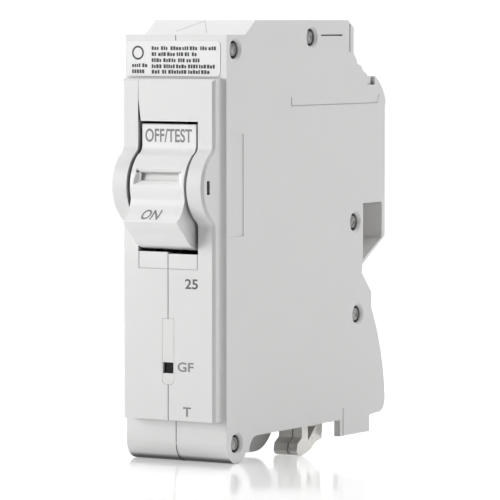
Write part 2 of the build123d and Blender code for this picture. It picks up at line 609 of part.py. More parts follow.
with BuildPart() as magnet_yoke:
    bar((2.2, 9.2), (33.0, 34.0), (32.0, 41.0))
    for inner, outer in ((2.2, 3.2), (8.2, 9.2)):
        bar((inner, outer), (29.6, 33.0), (32.0, 41.0))
    bar((9.2, INSIDE), (33.0, 34.0), (34.0, 39.0))
save(magnet_yoke, "magnet_yoke")

with BuildPart() as bimetal_strip:
    bar(BIMETAL_X, (31.0, 31.8), (21.0, 52.0))
save(bimetal_strip, "bimetal_strip")

SCREW_PLACE = (9.6, 24.0)
with BuildPart() as load_bracket:
    bar((2.6, INSIDE), (31.8, 33.0), (20.5, 27.5))
    barrel(*SCREW_PLACE, (31.0, 34.0), 1.05, mode=Mode.SUBTRACT)
save(load_bracket, "load_bracket")

with BuildPart() as calibration_screw:
    barrel(*SCREW_PLACE, (30.2, 36.0), 1.0)
    barrel(*SCREW_PLACE, (29.2, 30.2), 1.45)
    bar((8.4, 10.8), (29.1, 29.6), (23.8, 24.2), mode=Mode.SUBTRACT)
save(calibration_screw, "calibration_screw")

# ---------------------------------------------------------------- flexible leads
save(lead([(5.3, 31.4, 52.1), (5.3, 31.4, 57.0), (5.3, 34.5, 62.0), (5.3, 34.5, 67.0)], 1.8), "braid")
save(lead([(5.5, 30.9, 24.0), (5.5, 26.0, 24.0), (2.5, 22.5, 20.0), (2.0, 21.5, 14.0), (2.0, 22.5, 9.4),
           (5.0, 29.0, 8.8), (6.0, 36.5, 8.6)], 2.2), "load_lead")
save(lead([(0.0, 50.6, 10.0), (-3.0, 40.0, 8.5), (-3.0, 29.0, 8.0), (-2.2, 22.6, 10.6), (-3.2, 21.0, 19.8),
           (-6.2, 20.0, 24.5), (-9.3, 20.3, 24.7)], 2.2), "neutral_lead")

# ---------------------------------------------------------------- ground-fault sensor
with BuildPart() as sensor_core:
    with BuildSketch(level(RING_LOW)):
        with Locations(RING_CENTRE):
            Circle(9.2)
            Circle(5.2, mode=Mode.SUBTRACT)
    extrude(amount=RING_HIGH - RING_LOW)
save(sensor_core, "sensor_core")

with BuildPart() as sensor_winding:
    with BuildSketch(level(RING_LOW - 0.5)) as winding_ring:
        with Locations(RING_CENTRE):
            Circle(9.7)
            Circle(4.7, mode=Mode.SUBTRACT)
        slab((-6.2, 6.2), (8, 35), mode=Mode.INTERSECT)
    extrude(winding_ring.sketch, amount=RING_HIGH - RING_LOW + 1.0)
    with BuildSketch(level(RING_LOW)) as core_space:
        with Locations(RING_CENTRE):
            Circle(9.2)
            Circle(5.2, mode=Mode.SUBTRACT)
    extrude(core_space.sketch, amount=RING_HIGH - RING_LOW, mode=Mode.SUBTRACT)
save(sensor_winding, "sensor_winding")

# ---------------------------------------------------------------- divider between mechanism and electronics
with BuildPart() as divider_plate:
    with BuildSketch(side(-DIVIDER)) as divider:
        with BuildLine():
            Polyline((6.4, 19.2), (33.0, 19.2), (33.0, 13.3), (64.0, 13.3), (61.0, 29.6), (61.0, 32.4),
                     (56.8, 37.0),
                     (57.3, 55.7), (67.3, 55.7), (67.5, 75.7), (63.9, 80.2), (61.5, 80.4), (57.4, 82.6),
                     (54.5, 83.9), (52.8, 86.6), (52.8, 92.1),
                     (51.7, 93.0), (12.6, 93.0), (8.4, 89.9), (2.0, 89.9), (2.0, 33.0),
                     (6.4, 33.0), close=True)
        make_face()
        with Locations(PIVOT):
            Circle(14.5, mode=Mode.SUBTRACT)
        slab((0, PIVOT[0]), (PIVOT[1] - 14.5, PIVOT[1] + 14.5), mode=Mode.SUBTRACT)
        with Locations(*RIVETS):
            Circle(BOSS_RADIUS + 0.1, mode=Mode.SUBTRACT)
        slab((27.0, 32.0), (54.9, 58.1), mode=Mode.SUBTRACT)
    extrude(divider.sketch, amount=DIVIDER)
save(divider_plate, "divider_plate")

# ---------------------------------------------------------------- electronics on the left
with BuildPart() as circuit_board:
    bar((BOARD_FACE - BOARD_THICK, BOARD_FACE), (5.0, 52.0), (12.0, 43.0))
save(circuit_board, "circuit_board")

with BuildPart() as controller_chip:
    bar((BOARD_FACE + 0.3, BOARD_FACE + 1.8), (10.5, 17.5), (28.5, 32.5))
    for pin in range(5):
        low = 11.1 + 1.27 * pin
        bar((BOARD_FACE, BOARD_FACE + 0.9), (low, low + 0.5), (27.5, 28.5))
        bar((BOARD_FACE, BOARD_FACE + 0.9), (low, low + 0.5), (32.5, 33.5))
save(controller_chip, "controller_chip")

with BuildPart() as capacitors:
    for centre in ((24.0, 37.5), (31.0, 37.5)):
        roller((BOARD_FACE, -3.0), centre, 2.8)
save(capacitors, "capacitors")

with BuildPart() as varistor:
    roller((-8.2, -5.4), (42.0, 35.0), 4.0)
    for low in (33.0, 36.4):
        bar((BOARD_FACE, -8.2), (41.7, 42.3), (low, low + 0.6))
save(varistor, "varistor")

with BuildPart() as test_leaf:
    bar((BOARD_FACE, -8.4), (6.0, 8.5), (40.0, 41.0))
    bar((-8.9, -8.4), (6.0, 8.5), (41.0, 58.0))
save(test_leaf, "test_leaf")

# ---------------------------------------------------------------- trip solenoid
PLUNGER_RADIUS, BORE = 1.6, 1.66
with BuildPart() as solenoid_frame:
    for near, far in ((36.0, 37.0), (49.0, 50.0)):
        bar((-INSIDE, -1.4), (near, far), (51.0, 61.2))
    bar((-INSIDE, -1.4), (37.0, 49.0), (51.0, 52.0))
    barrel(COIL_X, COIL_HEIGHT, (35.0, 38.0), BORE, mode=Mode.SUBTRACT)
save(solenoid_frame, "solenoid_frame")

with BuildPart() as solenoid_bobbin:
    barrel(COIL_X, COIL_HEIGHT, (37.0, 49.0), 2.3)
    for near, far in ((37.0, 38.0), (48.0, 49.0)):
        barrel(COIL_X, COIL_HEIGHT, (near, far), 4.4)
    barrel(COIL_X, COIL_HEIGHT, (37.0, 49.0), BORE, mode=Mode.SUBTRACT)
save(solenoid_bobbin, "solenoid_bobbin")

with BuildPart() as solenoid_winding:
    barrel(COIL_X, COIL_HEIGHT, (38.0, 48.0), 4.1)
    barrel(COIL_X, COIL_HEIGHT, (38.0, 48.0), 2.3, mode=Mode.SUBTRACT)
save(solenoid_winding, "solenoid_winding")

with BuildPart() as solenoid_plunger:
    barrel(COIL_X, COIL_HEIGHT, (31.1, 46.0), PLUNGER_RADIUS)
    barrel(COIL_X, COIL_HEIGHT, (29.9, 31.1), 2.8)
    bar((COIL_X, 3.8), (29.9, 31.1), (55.5, 57.5))
save(solenoid_plunger, "solenoid_plunger")

with BuildPart() as plunger_spring:
    barrel(COIL_X, COIL_HEIGHT, (31.2, 35.9), 2.6)
    barrel(COIL_X, COIL_HEIGHT, (31.2, 35.9), 1.95, mode=Mode.SUBTRACT)
save(plunger_spring, "plunger_spring")
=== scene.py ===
import math
import random
import bpy
import bmesh
from mathutils import Matrix, Vector


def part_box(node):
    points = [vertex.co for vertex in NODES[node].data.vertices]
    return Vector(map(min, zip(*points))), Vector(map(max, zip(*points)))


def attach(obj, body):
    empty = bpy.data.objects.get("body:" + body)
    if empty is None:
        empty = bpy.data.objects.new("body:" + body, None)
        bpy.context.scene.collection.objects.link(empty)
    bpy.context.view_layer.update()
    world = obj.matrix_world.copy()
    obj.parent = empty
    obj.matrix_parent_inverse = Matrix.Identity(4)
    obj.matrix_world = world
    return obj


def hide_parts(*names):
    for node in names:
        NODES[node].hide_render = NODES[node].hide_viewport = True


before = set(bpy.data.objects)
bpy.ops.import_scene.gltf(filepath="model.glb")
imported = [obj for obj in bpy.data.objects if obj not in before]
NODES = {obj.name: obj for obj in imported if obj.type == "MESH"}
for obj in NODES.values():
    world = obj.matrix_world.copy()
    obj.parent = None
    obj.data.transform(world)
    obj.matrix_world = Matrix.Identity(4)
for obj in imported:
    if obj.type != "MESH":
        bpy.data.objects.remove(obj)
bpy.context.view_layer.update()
scene = bpy.context.scene
scene.view_settings.view_transform = "Standard"
scene.view_settings.look = "None"

MM = 0.001

# ---------------------------------------------------------------- places, taken from the frame
# A place is (X, depth behind the case's front plane, height above the foot roll), in millimetres.
CASE_DEPTH = 69.8
shell_lo, shell_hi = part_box("right_shell")
FRONT_Y = shell_hi[1] - CASE_DEPTH * MM
ROLL_Z = shell_lo[2]
HALF_WIDTH = shell_hi[0] / MM
NOSE_FACE = -3.2
ROCKER_FLAT = -2.7
STICKER_FACE = -0.12
PIVOT = (0.85, 59.55)
WELL_DEPTH = 2.4
LIP_ARC = ((-7.31, 57.0), (-8.3, 54.4), (-10.25, 52.6))
# depth where the foot roll meets the floor, and how far below and behind that the clip's lowest corner is
ROLL_CONTACT = 4.07
CLIP_DROP, CLIP_BEHIND = 1.856, 34.23


def place(x, depth, height):
    return Vector((x * MM, FRONT_Y + depth * MM, ROLL_Z + height * MM))


# ---------------------------------------------------------------- camera at the photograph's view
camera_data = bpy.data.cameras.new("camera")
camera_data.lens = 273.6
camera_data.sensor_width = 36.0
camera_data.clip_start, camera_data.clip_end = 0.05, 50.0
camera = bpy.data.objects.new("camera", camera_data)
scene.collection.objects.link(camera)
camera.location = (0.432597, -0.718802, 0.096846)
SWING, PITCH = math.radians(31.0), math.radians(3.4622)
look = Vector((-math.sin(SWING) * math.cos(PITCH), math.cos(SWING) * math.cos(PITCH), -math.sin(PITCH)))
camera.rotation_euler = look.to_track_quat("-Z", "Y").to_euler()
scene.camera = camera


# ---------------------------------------------------------------- material helpers
# the Mix node's colour sockets share their names with its other sockets, so they go by number
MIX_COLOUR_A, MIX_COLOUR_B, MIX_RESULT = 6, 7, 2
# painted shade in gaps and inner corners: share of open sky below which a corner is darkest, and above which
# it isn't darkened
CLOSED_CORNER, OPEN_FACE = 0.22, 0.66


class Shader:
    """A material's node tree, with short calls for the nodes used here."""

    def __init__(self, name):
        self.material = bpy.data.materials.new(name)
        self.material.use_nodes = True
        self.tree = self.material.node_tree
        self.bsdf = self.tree.nodes["Principled BSDF"]
        self.coords = self.tree.nodes.new("ShaderNodeTexCoord").outputs["Object"]

    def link(self, source, target):
        self.tree.links.new(source, target)

    def noise(self, scale, detail=3.0, stretch=(1, 1, 1)):
        mapping = self.tree.nodes.new("ShaderNodeMapping")
        mapping.inputs["Scale"].default_value = stretch
        self.link(self.coords, mapping.inputs["Vector"])
        node = self.tree.nodes.new("ShaderNodeTexNoise")
        node.inputs["Scale"].default_value = scale
        node.inputs["Detail"].default_value = detail
        self.link(mapping.outputs["Vector"], node.inputs["Vector"])
        return node.outputs["Fac"]

    def wave(self, scale, axis):
        node = self.tree.nodes.new("ShaderNodeTexWave")
        node.bands_direction = axis
        node.inputs["Scale"].default_value = scale
        self.link(self.coords, node.inputs["Vector"])
        return node.outputs["Fac"]

    def ramp(self, factor, stops):
        node = self.tree.nodes.new("ShaderNodeValToRGB")
        while len(node.color_ramp.elements) < len(stops):
            node.color_ramp.elements.new(0.5)
        for element, (position, colour) in zip(node.color_ramp.elements, stops):
            element.position = position
            element.color = (*colour, 1.0)
        self.link(factor, node.inputs["Fac"])
        return node.outputs["Color"]

    def spread(self, factor, low, high):
        node = self.tree.nodes.new("ShaderNodeMapRange")
        node.inputs["To Min"].default_value = low
        node.inputs["To Max"].default_value = high
        self.link(factor, node.inputs["Value"])
        return node.outputs["Result"]

    def paint_corner_shade(self, colour, reach, darkest):
        """Paints shade into a colour: multiplies it by a value that falls to the darkest one in gaps and
        inner corners.
        """
        gather = self.tree.nodes.new("ShaderNodeAmbientOcclusion")
        gather.inputs["Distance"].default_value = reach * MM
        gather.samples = 8
        fall = self.tree.nodes.new("ShaderNodeMapRange")
        fall.inputs["From Min"].default_value = CLOSED_CORNER
        fall.inputs["From Max"].default_value = OPEN_FACE
        fall.inputs["To Min"].default_value = darkest
        self.link(gather.outputs["AO"], fall.inputs["Value"])
        mix = self.tree.nodes.new("ShaderNodeMix")
        mix.data_type = "RGBA"
        mix.blend_type = "MULTIPLY"
        mix.inputs["Factor"].default_value = 1.0
        self.link(colour, mix.inputs[MIX_COLOUR_A])
        self.link(fall.outputs["Result"], mix.inputs[MIX_COLOUR_B])
        return mix.outputs[MIX_RESULT]

    def bump(self, heights):
        """Adds bumps one over the other: pairs of a height source and its depth in millimetres."""
        normal = None
        for source, depth in heights:
            node = self.tree.nodes.new("ShaderNodeBump")
            node.inputs["Distance"].default_value = depth * MM
            node.inputs["Strength"].default_value = 1.0
            self.link(source, node.inputs["Height"])
            if normal is not None:
                self.link(normal, node.inputs["Normal"])
            normal = node.outputs["Normal"]
        self.link(normal, self.bsdf.inputs["Normal"])


def shade(colour, factor):
    return tuple(min(1.0, channel * factor) for channel in colour)


def moulded(name, colour, rough=0.42, grain=0.012, mottle=0.008, translucent=0.0, corners=None):
    """Moulded plastic: faint cloudy colour, fine eroded grain and slow waviness from the mould."""
    m = Shader(name)
    clouds = m.noise(90.0, 4.0)
    paint = m.ramp(clouds, [(0.25, shade(colour, 1 - mottle)), (0.75, shade(colour, 1 + mottle))])
    # painted shade: the colour darkens in gaps and inner corners
    if corners:
        paint = m.paint_corner_shade(paint, *corners)
    m.link(paint, m.bsdf.inputs["Base Color"])
    m.link(m.spread(m.noise(700.0, 2.0), rough - 0.06, rough + 0.06), m.bsdf.inputs["Roughness"])
    m.bump([(m.noise(3800.0, 2.0), grain), (m.noise(60.0, 1.0), 0.015)])
    if translucent:
        m.bsdf.inputs["Subsurface Weight"].default_value = translucent
        m.bsdf.inputs["Subsurface Radius"].default_value = (1.0, 0.95, 0.9)
        m.bsdf.inputs["Subsurface Scale"].default_value = 0.6 * MM
    return m.material


def metal(name, colour, rough=0.32, stretch=(1, 1, 1), scratch=0.006, tint=0.12, scale=900.0, bare=1.0,
          blotches=160.0, corners=None):
    """Metal with rolling marks along the stretched axis, blotchy tone and uneven polish."""
    m = Shader(name)
    m.bsdf.inputs["Metallic"].default_value = bare
    blotch = m.noise(blotches, 5.0)
    paint = m.ramp(blotch, [(0.2, shade(colour, 1 - tint)), (0.8, shade(colour, 1 + tint))])
    # painted shade: the colour darkens in gaps and inner corners
    if corners:
        paint = m.paint_corner_shade(paint, *corners)
    m.link(paint, m.bsdf.inputs["Base Color"])
    m.link(m.spread(m.noise(400.0, 4.0), rough - 0.08, rough + 0.12), m.bsdf.inputs["Roughness"])
    m.bump([(m.noise(scale, 3.0, stretch), scratch)])
    return m.material


def wound(name, colour, pitch, axis="Y", rough=0.25):
    """Enamelled wire laid in turns."""
    m = Shader(name)
    turns = m.wave(0.314 / (pitch * MM), axis)
    # painted shade: the colour darkens in the grooves between turns
    m.link(m.ramp(turns, [(0.1, shade(colour, 0.35)), (0.6, colour)]), m.bsdf.inputs["Base Color"])
    m.bsdf.inputs["Metallic"].default_value = 0.6
    m.link(m.spread(m.noise(500.0), rough, rough + 0.15), m.bsdf.inputs["Roughness"])
    m.bump([(turns, 0.12)])
    return m.material


def board_finish(name):
    """Solder-masked laminate with darker and lighter track areas and a woven ground."""
    m = Shader(name)
    tracks = m.tree.nodes.new("ShaderNodeTexVoronoi")
    tracks.distance = "CHEBYCHEV"
    tracks.inputs["Scale"].default_value = 320.0
    m.link(m.coords, tracks.inputs["Vector"])
    m.link(m.ramp(tracks.outputs["Distance"], [(0.45, (0.018, 0.16, 0.06)), (0.5, (0.03, 0.25, 0.1))]),
           m.bsdf.inputs["Base Color"])
    m.link(m.spread(m.noise(600.0), 0.25, 0.4), m.bsdf.inputs["Roughness"])
    m.bump([(tracks.outputs["Distance"], 0.03), (m.wave(900.0, "Y"), 0.006), (m.wave(900.0, "Z"), 0.006)])
    return m.material


def ink(name, colour):
    """Printed or stamped legend, also used for a painted seam shadow: slightly uneven coverage."""
    m = Shader(name)
    cover = m.ramp(m.noise(2600.0, 3.0), [(0.3, colour), (0.75, shade(colour, 1.18))])
    m.link(cover, m.bsdf.inputs["Base Color"])
    m.link(m.spread(m.noise(900.0), 0.45, 0.6), m.bsdf.inputs["Roughness"])
    m.bump([(m.noise(5200.0), 0.004)])
    return m.material


# case and rocker: painted shade darkens their colour in gaps and inner corners
CASE = moulded("case_plastic", (0.85, 0.85, 0.845), rough=0.40, translucent=0.03, corners=(2.0, 0.03))
ROCKER = moulded("rocker_plastic", (0.94, 0.94, 0.935), rough=0.36, grain=0.008, translucent=0.03,
                 corners=(1.0, 0.08))
LENS = moulded("lens_plastic", (0.004, 0.004, 0.004), rough=0.25, grain=0.002)
LENS.node_tree.nodes["Principled BSDF"].inputs["Specular IOR Level"].default_value = 0.1
STRIP = moulded("strip_plastic", (0.82, 0.82, 0.81), rough=0.2, grain=0.003, translucent=0.15)
FLAG = moulded("flag_plastic", (0.84, 0.84, 0.83), rough=0.35)
FILM = moulded("label_film", (0.90, 0.90, 0.90), rough=0.30, grain=0.003, mottle=0.01)
FIBRE = moulded("fibre_sheet", (0.30, 0.13, 0.09), rough=0.7, grain=0.02, mottle=0.15)
DIVIDER = moulded("divider_sheet", (0.035, 0.035, 0.037), rough=0.5)
BOBBIN = moulded("bobbin_nylon", (0.78, 0.75, 0.62), rough=0.4, translucent=0.1)
CHIP = moulded("chip_epoxy", (0.02, 0.02, 0.022), rough=0.55, grain=0.01, mottle=0.2)
CAN = moulded("capacitor_sleeve", (0.05, 0.055, 0.09), rough=0.25, grain=0.004)
DISC = moulded("varistor_dip", (0.05, 0.13, 0.42), rough=0.3, grain=0.02)
CORE = moulded("core_epoxy", (0.04, 0.10, 0.26), rough=0.35, grain=0.015, mottle=0.1)
LAMP = moulded("lamp_plastic", (0.55, 0.05, 0.03), rough=0.12, grain=0.001, translucent=0.3)
WHITE_LEAD = moulded("lead_white", (0.78, 0.78, 0.75), rough=0.35, grain=0.006)
BLACK_LEAD = moulded("lead_black", (0.02, 0.02, 0.022), rough=0.35, grain=0.006)
# rivets: painted shade darkens their colour in gaps and inner corners
RIVET = metal("rivet_steel", (0.30, 0.30, 0.295), rough=0.42, tint=0.6, scale=1500.0, scratch=0.03, bare=0.7,
              blotches=900.0, corners=(1.6, 0.02))
PIN = metal("pin_steel", (0.58, 0.58, 0.59), rough=0.22, stretch=(0.05, 1, 1))
SPRING = metal("spring_wire", (0.42, 0.42, 0.44), rough=0.3)
PLATED = metal("plated_copper", (0.86, 0.845, 0.81), rough=0.28, stretch=(1, 1, 0.08), scratch=0.012,
               bare=0.45)
COPPER = metal("bare_copper", (0.72, 0.38, 0.24), rough=0.3, stretch=(1, 0.08, 1))
SILVER = metal("silver_contact", (0.78, 0.77, 0.74), rough=0.28)
ZINC = metal("zinc_steel", (0.60, 0.60, 0.57), rough=0.34, stretch=(1, 1, 0.1), tint=0.15)
BIMETAL = metal("bimetal", (0.52, 0.49, 0.43), rough=0.3, stretch=(1, 1, 0.05))
BRAID = wound("braid_copper", (0.70, 0.40, 0.26), 0.35, "Z", rough=0.35)
COIL = wound("coil_wire", (0.42, 0.14, 0.05), 0.3, "Y")
LOOPS = metal("winding_wire", (0.55, 0.22, 0.09), rough=0.25)
BOARD = board_finish("circuit_board")
GREY_INK = ink("grey_ink", (0.235, 0.235, 0.235))
NOSE_INK = ink("nose_ink", (0.10, 0.10, 0.10))
# dark ink for the label's print, also used for the painted shadow of the seam round the foot roll
DARK_PRINT_AND_SHADOW = ink("dark_print_and_painted_shadow", (0.045, 0.045, 0.05))

FINISH = {
    "right_shell": CASE, "left_shell": CASE, "rocker_handle": ROCKER, "label": FILM,
    "rocker_pin": PIN, "trip_flag": FLAG, "indicator_strip": STRIP, "indicator_lens": LENS,
    "indicator_lamp": LAMP, "load_clip": PLATED, "neutral_clip": PLATED, "line_jaw": PLATED,
    "line_strap": COPPER, "fixed_contact": SILVER, "moving_contact": SILVER, "arc_chute_frame": FIBRE,
    "arc_plates": ZINC, "mechanism_frame": ZINC, "mechanism_pins": PIN, "contact_arm": COPPER,
    "cradle": ZINC, "armature": ZINC, "magnet_yoke": ZINC, "bimetal_strip": BIMETAL,
    "load_bracket": PLATED, "calibration_screw": ZINC, "braid": BRAID, "load_lead": BLACK_LEAD,
    "neutral_lead": WHITE_LEAD, "sensor_core": CORE, "sensor_winding": LOOPS, "divider_plate": DIVIDER,
    "circuit_board": BOARD, "controller_chip": CHIP, "capacitors": CAN, "varistor": DISC,
    "test_leaf": SPRING, "solenoid_frame": ZINC, "solenoid_bobbin": BOBBIN, "solenoid_winding": COIL,
    "solenoid_plunger": ZINC, "rivets": RIVET, "rocker_spring": SPRING, "arm_spring": SPRING,
    "plunger_spring": SPRING,
}
for node, finish in FINISH.items():
    mesh = NODES[node].data
    mesh.materials.clear()
    mesh.materials.append(finish)


# ---------------------------------------------------------------- softened edges, moulded and pressed pieces
SHARP_ANGLE, FLAT_ANGLE = math.radians(32.0), math.radians(0.6)


def soften(node, width, segments=2):
    """Rounds a CAD node's sharp edges by modifiers, leaving its own vertices as they are."""
    thing = NODES[node]
    weld = thing.modifiers.new("weld", "WELD")
    weld.merge_threshold = 0.0005 * MM
    flatten = thing.modifiers.new("flatten", "DECIMATE")
    flatten.decimate_type = "DISSOLVE"
    flatten.angle_limit = FLAT_ANGLE
    round_off = thing.modifiers.new("round_off", "BEVEL")
    round_off.width = width * MM
    round_off.segments = segments
    round_off.limit_method = "ANGLE"
    round_off.angle_limit = SHARP_ANGLE
    round_off.use_clamp_overlap = True
    round_off.harden_normals = True
    round_off.miter_outer = "MITER_ARC"
    shading = thing.modifiers.new("shading", "WEIGHTED_NORMAL")
    shading.weight = 80
    shading.keep_sharp = True


for node in ("right_shell", "left_shell"):
    soften(node, 0.16)
soften("rocker_handle", 0.22, 3)
soften("load_clip", 0.15)


# ---------------------------------------------------------------- new pieces
def finish_piece(name, bm, material, body, smooth=True, replaced=()):
    """Turns mesh code into a piece that rides on a CAD body."""
    mesh = bpy.data.meshes.new(name)
    bm.normal_update()
    bm.to_mesh(mesh)
    bm.free()
    mesh.polygons.foreach_set("use_smooth", [smooth] * len(mesh.polygons))
    mesh.materials.append(material)
    thing = bpy.data.objects.new(name, mesh)
    scene.collection.objects.link(thing)
    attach(thing, body)
    if replaced:
        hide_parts(*replaced)
    return thing


def ring_of(bm, centre, across, upward, radius, steps):
    points = [centre + radius * (math.cos(2 * math.pi * i / steps) * across
                                 + math.sin(2 * math.pi * i / steps) * upward) for i in range(steps)]
    return [bm.verts.new(p) for p in points]


def lathe(bm, start, along, profile, steps=40):
    """Turns (distance along, radius) pairs, in millimetres, into a closed solid of revolution."""
    across = along.orthogonal().normalized()
    upward = along.cross(across).normalized()
    rings = []
    for distance, radius in profile:
        centre = start + along * distance * MM
        if radius == 0:
            rings.append([bm.verts.new(centre)])
        else:
            rings.append(ring_of(bm, centre, across, upward, radius * MM, steps))
    for low, high in zip(rings, rings[1:]):
        for i in range(steps):
            j = (i + 1) % steps
            if len(low) == 1:
                bm.faces.new((low[0], high[j], high[i]))
            elif len(high) == 1:
                bm.faces.new((low[i], low[j], high[0]))
            else:
                bm.faces.new((low[i], low[j], high[j], high[i]))


def tube(bm, points, radius, steps=10, closed=False):
    """Round wire of one radius along a list of points, with closed ends."""
    count = len(points)
    rings = []
    upward = None
    for i, point in enumerate(points):
        ahead = points[(i + 1) % count] if closed or i + 1 < count else point
        behind = points[i - 1] if closed or i else point
        tangent = (ahead - behind).normalized()
        if upward is None:
            upward = tangent.orthogonal().normalized()
        upward = (upward - tangent * upward.dot(tangent)).normalized()
        rings.append(ring_of(bm, point, upward, tangent.cross(upward), radius, steps))
    pairs = list(zip(rings, rings[1:])) + ([(rings[-1], rings[0])] if closed else [])
    for low, high in pairs:
        for i in range(steps):
            j = (i + 1) % steps
            bm.faces.new((low[i], low[j], high[j], high[i]))
    if not closed:
        bm.faces.new(list(reversed(rings[0])))
        bm.faces.new(rings[-1])


def helix(centre, along, radius, pitch, turns, steps=18):
    """Points of a coil spring with closed end turns, from the centre of its first end."""
    across = along.orthogonal().normalized()
    upward = along.cross(across)
    points, travelled = [], 0.0
    total = int(turns * steps)
    for i in range(total + 1):
        turn = i / steps
        points.append(centre + along * travelled + radius * (math.cos(2 * math.pi * turn) * across
                                                             + math.sin(2 * math.pi * turn) * upward))
        ends = min(turn, turns - turn)
        travelled += pitch * min(1.0, 0.35 + ends) / steps
    return points


# ---------------------------------------------------------------- rivets, with a dished head at each end
RIVETS = [(3.7, 88.7), (36.3, 91.2), (55.8, 49.6), (57.0, 28.7), (4.3, 4.3)]
RIVET_SHANK = 1.25
# distance out of the well's floor and radius, from the foot over the rim and into the dish
RIVET_HEAD = [(0, 0), (0, 1.42), (1.2, 1.46), (1.42, 1.5), (1.58, 1.42), (1.65, 1.25), (1.6, 1.08),
              (1.42, 0.98), (1.34, 0.75), (1.42, 0.5), (1.36, 0.25), (1.34, 0)]
WELL_FLOOR = HALF_WIDTH - WELL_DEPTH
shank = [(0, 0), (0, RIVET_SHANK), (2 * WELL_FLOOR, RIVET_SHANK), (2 * WELL_FLOOR, 0)]
bm = bmesh.new()
for depth, height in RIVETS:
    for sense in (1, -1):
        lathe(bm, place(sense * WELL_FLOOR, depth, height), Vector((sense, 0, 0)), RIVET_HEAD)
    lathe(bm, place(-WELL_FLOOR, depth, height), Vector((1, 0, 0)), shank, 24)
finish_piece("rivet_heads", bm, RIVET, "case", replaced=("rivets",))

# ---------------------------------------------------------------- springs, as coiled wire
bm = bmesh.new()
tube(bm, helix(place(5.3, 30.0, 73.7), Vector((0, 0, 1)), 1.6 * MM, 1.05 * MM, 12.2), 0.28 * MM)
finish_piece("arm_coil_spring", bm, SPRING, "case", replaced=("arm_spring",))
bm = bmesh.new()
tube(bm, helix(place(-6.2, 31.4, 56.5), Vector((0, 1, 0)), 2.28 * MM, 0.98 * MM, 5.2), 0.25 * MM)
finish_piece("plunger_coil_spring", bm, SPRING, "case", replaced=("plunger_spring",))
bm = bmesh.new()
tube(bm, helix(place(-5.0, *PIVOT), Vector((1, 0, 0)), 2.82 * MM, 0.62 * MM, 4.6), 0.26 * MM)
finish_piece("rocker_torsion_spring", bm, SPRING, "case", replaced=("rocker_spring",))

# ---------------------------------------------------------------- sensor winding, loop by loop
RING_CENTRE, RING_IN, RING_OUT = (0.0, 21.5, 14.5), 5.0, 9.4
LOOPS_PER_SIDE, LOOP_ANGLE, FIRST_LOOP = 13, 6, -36
# each loop goes round the ring's square section: distance from the ring's axis and height over its middle
LOOP_PATH = ((RING_IN, -3), (RING_IN + 0.1, -3.2), (RING_OUT - 0.1, -3.2), (RING_OUT, -3),
             (RING_OUT, 3), (RING_OUT - 0.1, 3.2), (RING_IN + 0.1, 3.2), (RING_IN, 3))
bm = bmesh.new()
centre = place(*RING_CENTRE)
for side in (90, 270):
    for step in range(LOOPS_PER_SIDE):
        angle = math.radians(side + FIRST_LOOP + LOOP_ANGLE * step)
        reach = Vector((math.cos(angle), math.sin(angle), 0))
        loop = [centre + reach * radial * MM + Vector((0, 0, rise * MM)) for radial, rise in LOOP_PATH]
        tube(bm, loop, 0.2 * MM, 8, closed=True)
finish_piece("sensor_wire_loops", bm, LOOPS, "case", replaced=("sensor_winding",))

# ---------------------------------------------------------------- legends
INK_LIFT, INK_THICKNESS = 0.03, 0.02
CAP_HEIGHT, CAP_SHARE, STROKE_GROWTH = 2.0, 0.70, 0.022
LAY_STEP = 0.2


def letters(name, words, shear):
    """A mesh of the words, drawn flat in slightly bold strokes, with capitals CAP_HEIGHT tall."""
    curve = bpy.data.curves.new(name, "FONT")
    curve.body = words
    curve.size = CAP_HEIGHT / CAP_SHARE
    curve.shear = shear
    curve.align_x = "CENTER"
    curve.resolution_u = 4
    curve.offset = STROKE_GROWTH * CAP_HEIGHT
    thing = bpy.data.objects.new(name + "_draft", curve)
    scene.collection.objects.link(thing)
    bpy.context.view_layer.update()
    mesh = bpy.data.meshes.new_from_object(thing)
    bpy.data.objects.remove(thing)
    bm = bmesh.new()
    bm.from_mesh(mesh)
    bpy.data.meshes.remove(mesh)
    return bm


def stretch_to(bm, left, right, low, high):
    """Fits drawn letters into a rectangle."""
    xs = [v.co.x for v in bm.verts]
    ys = [v.co.y for v in bm.verts]
    for v in bm.verts:
        v.co.x = left + (v.co.x - min(xs)) * (right - left) / (max(xs) - min(xs))
        v.co.y = low + (v.co.y - min(ys)) * (high - low) / (max(ys) - min(ys))


def lay(bm, surface):
    """Gives flat letters a little thickness, then lays them on a surface: a function from height to depth."""
    low = min(v.co.y for v in bm.verts)
    high = max(v.co.y for v in bm.verts)
    steps = int((high - low) / LAY_STEP) + 1
    for i in range(1, steps):
        level = low + (high - low) * i / steps
        everything = bm.verts[:] + bm.edges[:] + bm.faces[:]
        bmesh.ops.bisect_plane(bm, geom=everything, plane_co=(0, level, 0), plane_no=(0, 1, 0))
    shell = bmesh.ops.extrude_face_region(bm, geom=bm.faces[:])
    tops = {e for e in shell["geom"] if isinstance(e, bmesh.types.BMVert)}
    for v in bm.verts:
        x, height = v.co.x, v.co.y
        depth = surface(height) - (INK_LIFT if v in tops else INK_LIFT - INK_THICKNESS)
        v.co = place(x, depth, height)
    bmesh.ops.recalc_face_normals(bm, faces=bm.faces[:])


def arc_depth(a, b, c, height):
    """Depth at a height on the circle through three places, on the middle one's side."""
    ax, ay = a
    bx, by = b
    cx, cy = c
    d = 2 * (ax * (by - cy) + bx * (cy - ay) + cx * (ay - by))
    ux = ((ax**2 + ay**2) * (by - cy) + (bx**2 + by**2) * (cy - ay) + (cx**2 + cy**2) * (ay - by)) / d
    uy = ((ax**2 + ay**2) * (cx - bx) + (bx**2 + by**2) * (ax - cx) + (cx**2 + cy**2) * (bx - ax)) / d
    radius = math.hypot(ax - ux, ay - uy)
    side = 1 if bx > ux else -1
    return ux + side * math.sqrt(max(0.0, radius**2 - (height - uy) ** 2))


def flat_face(depth):
    return lambda height: depth


def lip_face(height):
    """Depth of the rocker's lip at a height: the hollow arc above the lip's tip."""
    return arc_depth(*LIP_ARC, height)


